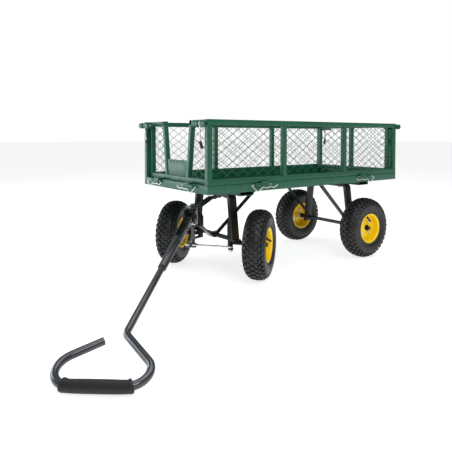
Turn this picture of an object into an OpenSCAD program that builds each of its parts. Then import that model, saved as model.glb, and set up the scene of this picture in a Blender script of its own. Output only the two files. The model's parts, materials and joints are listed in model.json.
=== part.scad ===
// Four-wheeled garden cart: steel tray on two U-shaped axle frames, four fold-down mesh
// panels pinned on with hairpin clips, knuckle steering and a pull handle with a loop grip.
// Millimetres. +Z is up, the cart's front is -X and its left side is +Y. The origin is on
// the ground, in the middle between the four wheels.

/* [Bed] */
// Length of the load bed
bed_l = 1030; // [960:5:1100]
// Width of the load bed
bed_w = 470; // [460:5:500]
// Height of the tray's underside above the ground
tray_z = 335; // [333:1:350]
// Depth of the sheet tray
tray_h = 30; // [26:1:40]
// Thickness of the tray sheet
sheet = 2; // [1.5:0.5:3]
// Width of the folded rim along the sides
rim_side = 22; // [20:1:30]
// Width of the folded rim at the ends
rim_end = 40; // [36:1:50]

/* [Panels] */
// Height of the fold-down panels above the tray
panel_h = 222.6; // [200:0.2:250]
// Size of the square tube in the panel frames
tube = 18; // [16:1:20]
// How far the end panels stand back from the tray's ends
end_inset = 15; // [14:1:18]
// Gap between an end panel and the side panels
end_gap = 1; // [0.5:0.5:2]
// Horizontal pitch of the mesh diamonds
mesh_px = 47; // [40:1:60]
// Vertical pitch of the mesh diamonds
mesh_pz = 31; // [26:1:40]
// Width of a mesh strand
strand = 2.4; // [2:0.2:4]
// Thickness of the mesh
mesh_t = 2; // [1.5:0.5:3]
// Half width of the front panel's notch at its top
notch_top = 102; // [98:1:110]
// Half width of the front panel's notch at its bottom
notch_low = 77; // [70:1:85]
// Height of the plate that closes the bottom of the notch
plate_h = 60; // [50:1:80]

/* [Running gear] */
// Distance between the front and rear axles
wheelbase = 653; // [640:1:670]
// Outer radius of a tyre
tyre_r = 130; // [125:1:130]
// Width of a tyre
tyre_w = 85; // [80:1:86]
// Outer radius of a rim's flange
rim_r = 64; // [62:1:66]
// Distance from the middle to the centre of a rear wheel
rear_track = 207.5; // [205:0.5:212]
// Distance from the middle to a steering spindle
spindle_y = 104; // [102:1:106]
// Distance from a spindle to the centre of its wheel
spindle_arm = 114; // [112:1:118]
// Radius of the axle and spindle rods
axle_r = 8; // [7:0.5:8]
// Angle of the steered front wheels
wheel_deg = 37; // [20:1:37]
// Angle of the steering head and handle
steer_deg = 45; // [30:1:45]

/* [Handle] */
// Slope of the lowered handle
tilt_deg = 15; // [14:0.5:17]
// Distance from the handle's pivot to the centre of its grip
handle_len = 831; // [780:1:880]
// Radius of the handle's tube
handle_r = 9.5; // [8:0.5:10]
// Radius of the foam grip
grip_r = 15; // [13:0.5:16]
// Half length of the foam grip
grip_half = 70; // [60:1:76]
// Where the handle's tube bends into the loop
loop_start = 666; // [650:1:680]

/* [Hidden] */
$fn = 48;
green = [0.16, 0.36, 0.27];
black = [0.09, 0.09, 0.10];
zinc = [0.75, 0.77, 0.80];
yellow = [1.0, 0.78, 0.0];
rubber = [0.12, 0.12, 0.13];
grey = [0.30, 0.32, 0.36];

axle_x = wheelbase / 2;
seat_r = rim_r - 6.5;
rim_w = 36;
bead_w = rim_w - 2.7;
hub_r = 14;
hub_out = 15;
rod_out = 31;
pin_at = 22;
valve_turn = -75;
tray_top = tray_z + tray_h;
panel_z = tray_top + 0.4;

// Axle frames: flat steel bent to an inverted U
plate = 5;
brace_y = 120;
leg_x = 32;
leg_t = 16;
frame_top = tray_z - 18;
leg_top_y = 113;
leg_low_y = 132;
leg_low_z = 147;
crossbar_z = 141;
leg_deg = atan((leg_low_y - leg_top_y) / (292 - leg_low_z));
bend_r = 17;

// Hinge knuckles and hairpin clips
knuckle_r = 6.5;
knuckle_out = 8;
knuckle_z = 358;
pin_r = 2.2;
pin_play = 0.08;
clip_side = 333;
clip_end = 172;
wire_r = 1.5;

// Corner latches
latch_r = 11;
latch_out = 11;
latch_z = panel_z + panel_h - 14.5;
bolt_r = 4;

// Steering head
king_x = -427;
king_r = 7;
head_low = 192;
head_high = 258.6;
pivot_ahead = 50;
grip_turn = 5;
pivot_z = grip_r + (handle_len + grip_half * sin(grip_turn)) * sin(tilt_deg);
arm_z = 114;
rod_z = 120.6;
arm_x = -36;
arm_y = 12;
arm_ratio = steer_deg / wheel_deg;
play = 0.06;

// ---- helpers ----

// Round bar from p to q
module rod(p, q, r) {
    d = q - p;
    translate(p) rotate([0, acos(d.z / norm(d)), atan2(d.y, d.x)]) cylinder(r = r, h = norm(d));
}

// Round wire through a list of points, with slightly fuller balls at its bends
module wire(points, r) {
    for (i = [0:len(points) - 2]) rod(points[i], points[i + 1], r);
    for (p = points) translate(p) sphere(r = 1.06 * r);
}

function unit(v) = v / norm(v);

// Step from point i of a bent line to its side, mitred at the bends
function side_step(p, i, t) = let (
    into = unit(p[max(i, 1)] - p[max(i, 1) - 1]),
    out = unit(p[min(i + 1, len(p) - 1)] - p[min(i + 1, len(p) - 1) - 1]),
    along = unit(into + out)
) [-along.y, along.x] * t / (along * out);

// Flat bar of width w and thickness t, bent along points given in x and z
module flat_bar(p, w, t) {
    last = len(p) - 1;
    translate([0, w / 2, 0]) rotate([90, 0, 0]) linear_extrude(w) polygon(concat(
        [for (i = [0:last]) p[i] + side_step(p, i, t / 2)],
        [for (i = [last:-1:0]) p[i] - side_step(p, i, t / 2)]));
}

// Round bar along local X from x0 to x1
module bar_x(x0, x1, r) {
    translate([x0, 0, 0]) rotate([0, 90, 0]) cylinder(r = r, h = x1 - x0);
}

// Turn a panel's own frame, with its outside at +Y, to a side of the cart
module to_far() children();
module to_near() rotate(180) children();
module to_front() rotate(90) children();
module to_rear() rotate(-90) children();

// ---- tray and chassis ----

// One tray knuckle from x0 to x1 along the hinge pin
module tray_knuckle(half, x0, x1) {
    difference() {
        union() {
            translate([0, half + knuckle_out, knuckle_z]) bar_x(x0, x1, knuckle_r);
            translate([x0, half - sheet / 2, knuckle_z - 4]) cube([x1 - x0, 5, 8]);
        }
        translate([0, half + knuckle_out, knuckle_z]) bar_x(x0 - 1, x1 + 1, pin_r + pin_play);
    }
}

module tray_knuckles(half, bow) {
    a = bow - 41.5;
    b = bow - 13;
    tray_knuckle(half, a, b);
    tray_knuckle(half, -b, -a);
}

module bed_tray() {
    color(green) {
        difference() {
            translate([-bed_l / 2, -bed_w / 2, tray_z]) cube([bed_l, bed_w, tray_h]);
            translate([-bed_l / 2 + sheet, -bed_w / 2 + sheet, tray_z + sheet])
                cube([bed_l - 2 * sheet, bed_w - 2 * sheet, tray_h - 2 * sheet]);
            translate([-bed_l / 2 + rim_end, -bed_w / 2 + rim_side, tray_z + sheet])
                cube([bed_l - 2 * rim_end, bed_w - 2 * rim_side, tray_h]);
        }
        to_far() tray_knuckles(bed_w / 2, clip_side);
        to_near() tray_knuckles(bed_w / 2, clip_side);
        to_front() tray_knuckles(bed_l / 2, clip_end);
        to_rear() tray_knuckles(bed_l / 2, clip_end);
    }
}

// Box rails across the tray's underside, above the axle frames
module cross_rails() {
    color(green) for (s = [-1, 1]) translate([s * axle_x, 0, frame_top]) difference() {
        translate([-31, -205, 0]) cube([62, 410, tray_z - frame_top]);
        translate([-28, -206, 3]) cube([56, 412, tray_z - frame_top - 6]);
    }
}

// Points of an arc about c
function arc(c, r, a0, a1) = [for (i = [0:8]) c + r * [cos(a0 + (a1 - a0) * i / 8), sin(a0 + (a1 - a0) * i / 8)]];

// Inverted U of flat bar, its legs cut off level at low_z
module u_frame(low_z) {
    mid_z = frame_top - leg_t / 2;
    knee_y = leg_top_y - (mid_z - 292) * tan(leg_deg);
    c = [knee_y - bend_r * tan((90 - leg_deg) / 2), mid_z - bend_r];
    outer = arc(c, bend_r + leg_t / 2, 90, leg_deg);
    inner = arc(c, bend_r - leg_t / 2, leg_deg, 90);
    o = outer[8];
    i = inner[0];
    foot = [for (p = [o, i]) [p.x + (p.y - low_z) * tan(leg_deg), low_z]];
    half = concat(outer, foot, inner);
    other = [for (k = [len(half) - 1:-1:0]) [-half[k].x, half[k].y]];
    translate([-leg_x / 2, 0, 0]) rotate([90, 0, 90]) linear_extrude(leg_x) polygon(concat(half, other));
}

// Front axle frame with the two spindle bosses
module front_frame() {
    color(black) translate([-axle_x, 0, 0]) {
        difference() {
            union() {
                u_frame(leg_low_z);
                for (s = [-1, 1]) translate([0, s * spindle_y, leg_low_z]) {
                    cylinder(r = 12, h = 53);
                    translate([-5, min(0, s * 19), 2]) cube([10, 19, 46]);
                }
            }
            for (s = [-1, 1]) translate([0, s * spindle_y, leg_low_z - 1]) cylinder(r = axle_r + play, h = 60);
        }
    }
}

// Flat bar that ties the front legs, with the spindle holes
module front_crossbar() {
    color(black) translate([-axle_x, 0, crossbar_z]) difference() {
        translate([-leg_x / 2, -150, 0]) cube([leg_x, 300, leg_low_z - crossbar_z]);
        for (s = [-1, 1]) translate([0, s * spindle_y, -1]) cylinder(r = axle_r + play, h = 8);
    }
}

// Diagonal flat bar from the crossbar's middle back up to the tray
module front_brace() {
    low = leg_low_z + plate / 2;
    high = tray_z - plate / 2;
    color(black)
        flat_bar([[-axle_x - 14, low], [-axle_x + 12, low], [-92, high], [-37, high]], 20, plate);
}

module rear_frame() {
    color(black) translate([axle_x, 0, 0]) difference() {
        u_frame(112);
        translate([0, -200, tyre_r]) rotate([-90, 0, 0]) cylinder(r = axle_r, h = 400);
    }
}

// Rear axle rod with its spacer collars, washers and split pins
module rear_axle() {
    color(black) translate([axle_x, 0, tyre_r]) rotate([90, 0, 0]) {
        cylinder(r = axle_r, h = 2 * (rear_track + rod_out), center = true);
        for (s = [-1, 1]) {
            translate([0, 0, s * (rear_track - 35) - 2.5]) cylinder(r = 12, h = 5);
            translate([0, 0, s * (rear_track + hub_out + 1.5) - 1]) cylinder(r = 12.5, h = 2);
            translate([0, 0, s * (rear_track + pin_at)]) rotate([90, 0, 0])
                cylinder(r = 1.6, h = 24, center = true);
        }
    }
}

// Two flat bars from the tray down to the feet of the rear legs
module rear_braces() {
    foot_x = axle_x - leg_x / 2 - plate / 2;
    high = tray_z - plate / 2;
    color(black) for (s = [-1, 1]) translate([0, s * brace_y, 0])
        flat_bar([[90, high], [134, high], [foot_x, 160], [foot_x, 138]], 22, plate);
}

// Upper tongue plate, bolted under the front frame through a spacer
module tongue_upper() {
    z = frame_top - leg_t - 7;
    back = z - plate / 2;
    front = head_high + 0.5 + plate / 2;
    color(black) difference() {
        union() {
            flat_bar([[-axle_x + 18, back], [-axle_x - 17, back], [king_x + 27, front],
                [king_x - 22, front]], 40, plate);
            translate([-axle_x, 0, z - 1]) cylinder(r = 7, h = 8);
            translate([-axle_x, 0, z - plate - 6]) cylinder(r = 8, h = 7, $fn = 6);
        }
        translate([king_x, 0, 250]) cylinder(r = king_r + play, h = 30);
    }
}

// Lower tongue plate, bolted under the crossbar's middle
module tongue_lower() {
    back = crossbar_z - plate / 2;
    front = head_low - 0.5 - plate / 2;
    color(black) difference() {
        flat_bar([[-axle_x + 15, back], [-axle_x - 17, back], [king_x + 27, front],
            [king_x - 22, front]], 40, plate);
        translate([king_x, 0, 170]) cylinder(r = king_r + play, h = 30);
    }
}

// Bolts that hold the axle frames, rails and braces: heads under the frames and in the tray
module frame_bolts() {
    color(zinc) {
        for (x = [-axle_x, axle_x], y = [-70, 70]) {
            translate([x, y, frame_top - leg_t - 6]) cylinder(r = 7, h = 6, $fn = 6);
            translate([x, y, tray_z + sheet]) cylinder(r = 8, h = 2);
        }
        for (x = [-60, 110], y = x < 0 ? [0] : [-brace_y, brace_y]) {
            translate([x, y, tray_z - 10]) cylinder(r = 6.5, h = 5, $fn = 6);
            translate([x, y, tray_z + sheet]) cylinder(r = 8, h = 2);
        }
        translate([-axle_x, 0, leg_low_z + plate]) cylinder(r = 6.5, h = 5, $fn = 6);
        translate([-axle_x, 0, crossbar_z - plate - 5]) cylinder(r = 6.5, h = 5, $fn = 6);
    }
}

// ---- panels, drawn in their own frame with the outside at +Y ----

// Stand an outline drawn in x and z up, with its outer face at y = face
module stand(face, t) {
    translate([0, face, 0]) rotate([90, 0, 0]) linear_extrude(t) children();
}

// Diamond lattice over w by h, with a plain edge strip
module lattice(w, h) {
    nx = round(w / mesh_px);
    nz = round(h / mesh_pz);
    px = w / nx;
    pz = h / nz;
    k = 1 - strand / 2 * norm([px, pz]) / (px * pz / 2);
    difference() {
        square([w, h]);
        for (i = [0:2 * nx], j = [0:2 * nz]) if ((i + j) % 2 == 1)
            translate([i * px / 2, j * pz / 2])
                polygon([[-px / 2 * k, 0], [0, -pz / 2 * k], [px / 2 * k, 0], [0, pz / 2 * k]]);
    }
    difference() {
        square([w, h]);
        translate([strand, strand]) square([w - 2 * strand, h - 2 * strand]);
    }
}

// Hinge strap and knuckle of a panel whose outer face is at y = face, over a tray edge at half
module panel_knuckle(face, half, x0, x1) {
    pin_y = half + knuckle_out;
    difference() {
        union() {
            translate([0, pin_y, knuckle_z]) bar_x(x0, x1, knuckle_r);
            translate([x0, face - 1, panel_z + 0.6]) cube([x1 - x0, pin_y + 4 - face + 1, 4]);
            translate([x0, pin_y - 4, knuckle_z]) cube([x1 - x0, 8, panel_z + 2 - knuckle_z]);
        }
        translate([0, pin_y, knuckle_z]) bar_x(x0 - 1, x1 + 1, pin_r + pin_play);
    }
}

module panel_knuckles(face, half, bow) {
    a = bow - 77;
    b = bow - 42;
    panel_knuckle(face, half, a, b);
    panel_knuckle(face, half, -b, -a);
}

// Frame of a side panel: three bays between four posts, with the latch keepers at its ends
module side_frame() {
    bay = (bed_l - 4 * tube) / 3;
    color(green) {
        stand(bed_w / 2, tube) difference() {
            translate([-bed_l / 2, panel_z]) square([bed_l, panel_h]);
            for (i = [0:2]) translate([-bed_l / 2 + tube + i * (bay + tube), panel_z + tube])
                square([bay, panel_h - 2 * tube]);
        }
        panel_knuckles(bed_w / 2, bed_w / 2, clip_side);
        for (s = [-1, 1]) difference() {
            union() {
                translate([s * (bed_l / 2 + latch_out), bed_w / 2 - 16, latch_z])
                    rotate([-90, 0, 0]) cylinder(r = latch_r, h = 26);
                translate([s * (bed_l / 2 + 2.5) - 3.5, bed_w / 2 - 16, latch_z - 6]) cube([7, 16, 12]);
            }
            translate([s * (bed_l / 2 + latch_out), bed_w / 2 - 20, latch_z])
                rotate([-90, 0, 0]) cylinder(r = bolt_r + 0.6, h = 40);
        }
    }
}

module side_mesh() {
    bay = (bed_l - 4 * tube) / 3;
    color(green) stand(bed_w / 2 - tube / 2 + mesh_t / 2, mesh_t)
        for (i = [0:2]) translate([-bed_l / 2 + tube + i * (bay + tube), panel_z + tube])
            lattice(bay, panel_h - 2 * tube);
}

end_half = bed_w / 2 - tube - end_gap;
end_face = bed_l / 2 - end_inset;
win_h = panel_h - 2 * tube;

// Knuckles that carry the corner latch bolts on an end panel
module latch_bosses() {
    y = bed_l / 2 + latch_out;
    for (s = [-1, 1]) difference() {
        union() {
            translate([0, y, latch_z]) bar_x(min(s * 168, s * 203), max(s * 168, s * 203), latch_r);
            translate([min(s * 168, s * 203), end_face - 1, latch_z - 6]) cube([35, y - end_face - 4, 12]);
        }
        translate([0, y, latch_z]) bar_x(min(s * 160, s * 210), max(s * 160, s * 210), bolt_r + play);
    }
}

// One sloping post beside the notch, in outline
module notch_post() {
    w = tube / 2 - 1;
    polygon([[notch_low - w, panel_z + tube - 1], [notch_low + w, panel_z + tube - 1],
             [notch_top + w, panel_z + panel_h], [notch_top - w, panel_z + panel_h]]);
}

// Frame of the front panel, open above the plate between two sloping posts
module front_panel_frame() {
    color(green) {
        stand(end_face, tube) {
            translate([-end_half, panel_z]) square([2 * end_half, tube]);
            for (s = [0, 1]) mirror([s, 0]) {
                translate([end_half - tube, panel_z]) square([tube, panel_h]);
                translate([notch_top - 8, panel_z + panel_h - tube])
                    square([end_half - notch_top + 8, tube]);
                notch_post();
            }
        }
        panel_knuckles(end_face, bed_l / 2, clip_end);
        latch_bosses();
    }
}

module front_panel_mesh() {
    w = tube / 2 - 1;
    slope = (notch_top - notch_low) / (panel_h - tube + 1);
    z0 = panel_z + tube;
    lo = notch_low + w + slope;
    hi = notch_low + w + slope * (win_h + 1);
    color(green) stand(end_face - tube / 2 + mesh_t / 2, mesh_t)
        for (s = [0, 1]) mirror([s, 0]) {
            intersection() {
                translate([lo, z0]) lattice(end_half - tube - lo, win_h);
                polygon([[lo, z0], [end_half - tube, z0], [end_half - tube, z0 + win_h], [hi, z0 + win_h]]);
            }
            polygon([[lo, z0], [lo + strand, z0], [hi + strand, z0 + win_h], [hi, z0 + win_h]]);
        }
}

// Plate that closes the bottom of the notch, with a row of small holes
module front_panel_plate() {
    w = tube / 2 - 1;
    slope = (notch_top - notch_low) / (panel_h - tube + 1);
    lo = notch_low - w + slope;
    hi = lo + slope * plate_h;
    z0 = panel_z + tube;
    color(green) stand(end_face - 3, 3) difference() {
        polygon([[-lo, z0], [lo, z0], [hi, z0 + plate_h], [-hi, z0 + plate_h]]);
        for (x = [-44:22:44]) translate([x, z0 + plate_h - 8]) circle(r = 2.5);
    }
}

module rear_panel_frame() {
    bay = end_half - 1.5 * tube;
    color(green) {
        stand(end_face, tube) difference() {
            translate([-end_half, panel_z]) square([2 * end_half, panel_h]);
            for (x = [-end_half + tube, tube / 2]) translate([x, panel_z + tube]) square([bay, win_h]);
        }
        panel_knuckles(end_face, bed_l / 2, clip_end);
        latch_bosses();
    }
}

module rear_panel_mesh() {
    bay = end_half - 1.5 * tube;
    color(green) stand(end_face - tube / 2 + mesh_t / 2, mesh_t)
        for (x = [-end_half + tube, tube / 2]) translate([x, panel_z + tube]) lattice(bay, win_h);
}

// ---- corner latches: s is the side, along the end panel's own X ----

module latch_bolt(s) {
    y = bed_l / 2 + latch_out;
    color(zinc) {
        translate([0, y, latch_z]) bar_x(min(s * 164, s * 218.5), max(s * 164, s * 218.5), bolt_r);
        translate([0, y, latch_z]) bar_x(min(s * 204, s * 209), max(s * 204, s * 209), 7.5);
        rod([s * 206.5, y, latch_z], [s * 204, y, latch_z - 34], 2.5);
        translate([s * 204, y, latch_z - 34]) sphere(r = 2.7);
        rod([s * 204, y, latch_z - 34], [s * 201, y - 3, latch_z - 60], 2.5);
    }
}

module latch_grip(s) {
    y = bed_l / 2 + latch_out;
    color(black) {
        rod([s * 201, y - 3, latch_z - 60], [s * 200, y - 12, latch_z - 84], 5.5);
    }
}

// ---- hairpin clips: half is the tray edge, bow the far end of the bow, s its side ----

module clip(half, bow, s) {
    y = half + knuckle_out;
    out = knuckle_r + wire_r + 1;
    color(zinc) translate([0, y, knuckle_z]) {
        bar_x(min(s * bow, s * (bow - 88)), max(s * bow, s * (bow - 88)), pin_r);
        wire([for (p = [[0, 0, 0], [-5, 0.6, 0], [-4, 1, -6], [20, 1, -25], [42, 1, -9], [60, 1, -12],
                        [80, 1, -8], [96, 1, -12], [112, 1, -3]])
                [s * (bow - p.x), out * p.y, p.z]], wire_r);
    }
}

// ---- wheels, drawn with the axis along Y and the outside at +Y ----

function bulge(a, n) = sign(a) * pow(abs(a), n);

module turned() rotate([-90, 0, 0]) rotate_extrude($fn = 96) children();

// Tyre with its inner tube and valve stem
module tyre() {
    mid = (tyre_r + rim_r - 6) / 2;
    tall = tyre_r - mid;
    wide = tyre_w / 2;
    wall = 5;
    color(rubber) {
        turned() polygon(concat(
            [[rim_r + 0.4, bead_w]],
            [for (a = [-38:8:218]) [mid + tall * bulge(sin(a), 0.85), wide * bulge(cos(a), 0.85)]],
            [[rim_r + 0.4, -bead_w], [seat_r + 0.2, -bead_w], [seat_r + 0.2, 6 - bead_w],
                [rim_r + 2, 6 - bead_w]],
            [for (a = [218:-8:-38]) [mid + (tall - wall) * bulge(sin(a), 0.85),
                                     (wide - wall) * bulge(cos(a), 0.85)]],
            [[rim_r + 2, bead_w - 6], [seat_r + 0.2, bead_w - 6], [seat_r + 0.2, bead_w]]));
        turned() difference() {
            translate([mid, 0]) circle(r = wide - wall - 8);
            translate([mid, 0]) circle(r = wide - wall - 10);
        }
        rod([0, 12, 63], [0, 12, 48], 4);
        rod([0, 11, 50.5], [0, 35, 30], 3.6);
    }
}

// Pressed rim with holes for the bolts and the valve
module rim() {
    color(yellow) difference() {
        turned() polygon([[rim_r, rim_w], [rim_r, rim_w - 2.5], [seat_r, rim_w - 2.5],
            [seat_r, 2.5 - rim_w], [rim_r, 2.5 - rim_w], [rim_r, -rim_w], [seat_r - 2.5, -rim_w],
            [seat_r - 2.5, 2], [40, 6], [26, 6], [hub_r + 0.2, 13], [hub_r + 0.2, 16], [27.5, 8.8],
            [41, 8.8], [seat_r - 2.5, 5], [seat_r - 2.5, rim_w]]);
        translate([0, 12, seat_r - 7]) cylinder(r = 5, h = 12);
        for (a = [45:90:315]) rotate([0, a, 0]) translate([32.5, -5, 0]) rotate([-90, 0, 0])
            cylinder(r = 3.2, h = 30);
    }
}

// Hub with its bearings, clamp flange and rim bolts
module hub() {
    color(zinc) {
        difference() {
            union() {
                translate([0, -32, 0]) rotate([-90, 0, 0]) cylinder(r = hub_r, h = 32 + hub_out);
                translate([0, 3.4, 0]) rotate([-90, 0, 0]) cylinder(r = 39, h = 2.6);
            }
            translate([0, -40, 0]) rotate([-90, 0, 0]) cylinder(r = axle_r + play, h = 80);
        }
        for (a = [45:90:315]) rotate([0, a, 0]) translate([32.5, 0, 0]) rotate([-90, 0, 0]) {
            cylinder(r = 3, h = 14);
            translate([0, 0, 8.8]) cylinder(r = 5, h = 4.5, $fn = 6);
            translate([0, 0, -1.1]) cylinder(r = 5, h = 4.6, $fn = 6);
        }
    }
}

module at_rear_near() translate([axle_x, -rear_track, tyre_r]) rotate(180) children();
module at_rear_far() translate([axle_x, rear_track, tyre_r]) children();
module at_spindle(s) translate([-axle_x, s * spindle_y, 0]) rotate(wheel_deg) children();
module at_front_near() at_spindle(-1) translate([0, -spindle_arm, tyre_r]) rotate(180)
    rotate([0, valve_turn, 0]) children();
module at_front_far() at_spindle(1) translate([0, spindle_arm, tyre_r]) children();

// ---- steering ----

// Bent stub axle with its steering arm, s is the side
module spindle(s) {
    hole = [arm_x, arm_y * s] * arm_ratio;
    color(black) at_spindle(s) {
        translate([0, 0, arm_z]) cylinder(r = axle_r, h = 98);
        translate([0, 0, arm_z]) cylinder(r = 10.5, h = 26.6);
        translate([0, 0, leg_low_z + 53.4]) cylinder(r = 11, h = 3);
        translate([0, 0, tyre_r]) rotate([-90 * s, 0, 0]) {
            cylinder(r = axle_r, h = spindle_arm + rod_out);
            translate([0, 0, spindle_arm - 38]) cylinder(r = 12, h = 5.5);
            translate([0, 0, spindle_arm + hub_out + 0.5]) cylinder(r = 12.5, h = 2);
            translate([0, 0, spindle_arm + pin_at]) rotate([90, 0, 0])
                cylinder(r = 1.6, h = 24, center = true);
        }
        difference() {
            union() {
                rotate(atan2(hole.y, hole.x)) translate([0, -9, arm_z])
                    cube([norm(hole), 18, 6]);
                translate([hole.x, hole.y, arm_z]) cylinder(r = 10, h = 6);
            }
            translate([hole.x, hole.y, arm_z - 1]) cylinder(r = 5.6, h = 8);
        }
    }
}

// Point that is turned by an angle about a pivot
function turn(c, p, a) = [c.x + p.x * cos(a) - p.y * sin(a), c.y + p.x * sin(a) + p.y * cos(a)];

// Flat tie rod from the head's arm to a spindle's arm
module tie_rod(s) {
    p = turn([king_x, 0], [arm_x, arm_y * s], steer_deg);
    q = turn([-axle_x, s * spindle_y], [arm_x, arm_y * s] * arm_ratio, wheel_deg);
    d = q - p;
    color(zinc) {
        difference() {
            union() {
                translate([p.x, p.y, rod_z + 0.5]) rotate(atan2(d.y, d.x)) translate([0, -6, 0])
                    cube([norm(d), 12, 4]);
                for (c = [p, q]) translate([c.x, c.y, rod_z]) cylinder(r = 9, h = 5);
            }
            translate([p.x, p.y, rod_z - 1]) cylinder(r = 3 + play, h = 7);
        }
        translate([q.x, q.y, arm_z - 6]) cylinder(r = 3, h = rod_z - arm_z + 8);
        translate([q.x, q.y, arm_z - 7]) cylinder(r = 8, h = 6);
    }
}

module at_head() translate([king_x, 0, 0]) rotate(steer_deg) children();

// Bushing and fork-shaped yoke that turn on the kingpin
module head_yoke() {
    color(black) at_head() difference() {
        union() {
            translate([0, 0, head_low]) cylinder(r = 17, h = head_high - head_low);
            translate([-34, -21.5, 205]) cube([24, 43, 50]);
            for (y = [-21.5, 15.5]) translate([-66, y, 204]) cube([50, 6, 52]);
        }
        translate([0, 0, head_low - 1]) cylinder(r = king_r, h = 90);
        translate([-pivot_ahead, -30, pivot_z]) rotate([-90, 0, 0]) cylinder(r = 5, h = 60);
    }
}

// Kingpin, keyed to the yoke, with the arm that moves the tie rods
module head_kingpin() {
    color(zinc) at_head() {
        translate([0, 0, arm_z - 6]) cylinder(r = king_r, h = 164);
        translate([0, 0, 264.6]) cylinder(r = 11, h = 8, $fn = 6);
        translate([0, 0, arm_z]) cylinder(r = 13, h = 6);
        translate([arm_x - 9, -arm_y - 8, arm_z]) cube([9 - arm_x, 2 * arm_y + 16, 6]);
        for (y = [-arm_y, arm_y]) translate([arm_x, y, arm_z]) {
            cylinder(r = 3, h = 13);
            translate([0, 0, 12]) cylinder(r = 5.5, h = 3);
        }
    }
}

module at_pivot() at_head() translate([-pivot_ahead, 0, pivot_z]) children();

module head_pivot_bolt() {
    color(zinc) at_pivot() {
        rotate([90, 0, 0]) cylinder(r = 5, h = 54, center = true);
        for (y = [-26.5, 21.5]) translate([0, y, 0]) rotate([-90, 0, 0]) cylinder(r = 8.5, h = 5, $fn = 6);
    }
}

// ---- handle, drawn along -X from its pivot ----

module at_handle() at_pivot() rotate([0, -tilt_deg, 0]) children();

module handle_fork() {
    color(grey) at_handle() difference() {
        union() {
            for (y = [-15, 11]) {
                translate([-200, y, -11]) cube([200, 4, 22]);
                translate([0, y, 0]) rotate([-90, 0, 0]) cylinder(r = 11, h = 4);
            }
            translate([-202, -15, -11]) cube([30, 30, 22]);
            translate([-200, -15, -11]) cube([165, 30, 3]);
            rod([-180, 0, 0], [-366, 0, 0], 13);
        }
        rod([-186, 0, 0], [-380, 0, 0], handle_r);
        translate([0, -30, 0]) rotate([-90, 0, 0]) cylinder(r = 5 + play, h = 60);
    }
}

// The loop: two round corners beside the grip, one leg back to the tube, one leg left open
left_r = 51;
left_at = 58;
left_leg = 46;
open_leg = 76;
right_r = 46;
right_at = -55;
grip_dir = [-sin(grip_turn), cos(grip_turn)];
grip_in = [cos(grip_turn), sin(grip_turn)];
left_c = [-handle_len, 0] + left_at * grip_dir + left_r * grip_in;
right_c = [-handle_len, 0] + right_at * grip_dir + right_r * grip_in;

// Points of a corner about c, from angle a0 to a1
function corner(c, r, a0, a1) = [for (i = [0:5])
    let (a = a0 + (a1 - a0) * i / 5) c + r * [cos(a), sin(a)]];

module handle_tube() {
    to_c = right_c + [loop_start, 0];
    slope = atan(to_c.y / to_c.x) + asin(right_r / norm(to_c));
    left = corner(left_c, left_r, 180 + grip_turn, 90 - left_leg);
    right = corner(right_c, right_r, 180 + grip_turn, 270 + slope);
    end = left[5] + open_leg * [cos(left_leg), -sin(left_leg)];
    path = concat([end], [for (i = [5:-1:0]) left[i]], right, [[-loop_start, 0], [-186, 0]]);
    color(grey) at_handle() wire([for (p = path) [p.x, p.y, 0]], handle_r);
}

module handle_grip() {
    color(rubber) at_handle() translate([-handle_len, 0, 0]) rotate([90, 0, grip_turn]) difference() {
        union() {
            cylinder(r = grip_r - 0.8, h = 2 * grip_half - 4, center = true);
            for (s = [-1, 1]) translate([0, 0, s * (grip_half - 4) - 4]) cylinder(r = grip_r, h = 8);
        }
        cylinder(r = handle_r, h = 400, center = true);
    }
}

// ---- nodes ----

bed_tray();
cross_rails();
front_frame();
front_crossbar();
front_brace();
rear_frame();
rear_axle();
rear_braces();
tongue_upper();
tongue_lower();
frame_bolts();
to_near() side_frame();  // panel_near_frame
to_near() side_mesh();  // panel_near_mesh
to_far() side_frame();  // panel_far_frame
to_far() side_mesh();  // panel_far_mesh
to_front() front_panel_frame();  // panel_front_frame
to_front() front_panel_mesh();  // panel_front_mesh
to_front() front_panel_plate();  // panel_front_plate
to_rear() rear_panel_frame();  // panel_rear_frame
to_rear() rear_panel_mesh();  // panel_rear_mesh
to_front() latch_bolt(-1);  // latch_front_near_bolt
to_front() latch_grip(-1);  // latch_front_near_grip
to_front() latch_bolt(1);  // latch_front_far_bolt
to_front() latch_grip(1);  // latch_front_far_grip
to_rear() latch_bolt(1);  // latch_rear_near_bolt
to_rear() latch_grip(1);  // latch_rear_near_grip
to_rear() latch_bolt(-1);  // latch_rear_far_bolt
to_rear() latch_grip(-1);  // latch_rear_far_grip
to_near() clip(bed_w / 2, clip_side, 1);  // clip_near_front
to_near() clip(bed_w / 2, clip_side, -1);  // clip_near_rear
to_far() clip(bed_w / 2, clip_side, -1);  // clip_far_front
to_far() clip(bed_w / 2, clip_side, 1);  // clip_far_rear
to_front() clip(bed_l / 2, clip_end, -1);  // clip_front_near
to_front() clip(bed_l / 2, clip_end, 1);  // clip_front_far
to_rear() clip(bed_l / 2, clip_end, 1);  // clip_rear_near
to_rear() clip(bed_l / 2, clip_end, -1);  // clip_rear_far
at_front_near() tyre();  // wheel_front_near_tyre
at_front_near() rim();  // wheel_front_near_rim
at_front_near() hub();  // wheel_front_near_hub
at_front_far() tyre();  // wheel_front_far_tyre
at_front_far() rim();  // wheel_front_far_rim
at_front_far() hub();  // wheel_front_far_hub
at_rear_near() tyre();  // wheel_rear_near_tyre
at_rear_near() rim();  // wheel_rear_near_rim
at_rear_near() hub();  // wheel_rear_near_hub
at_rear_far() tyre();  // wheel_rear_far_tyre
at_rear_far() rim();  // wheel_rear_far_rim
at_rear_far() hub();  // wheel_rear_far_hub
spindle(-1);  // spindle_near
spindle(1);  // spindle_far
tie_rod(-1);  // tie_rod_near
tie_rod(1);  // tie_rod_far
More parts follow.
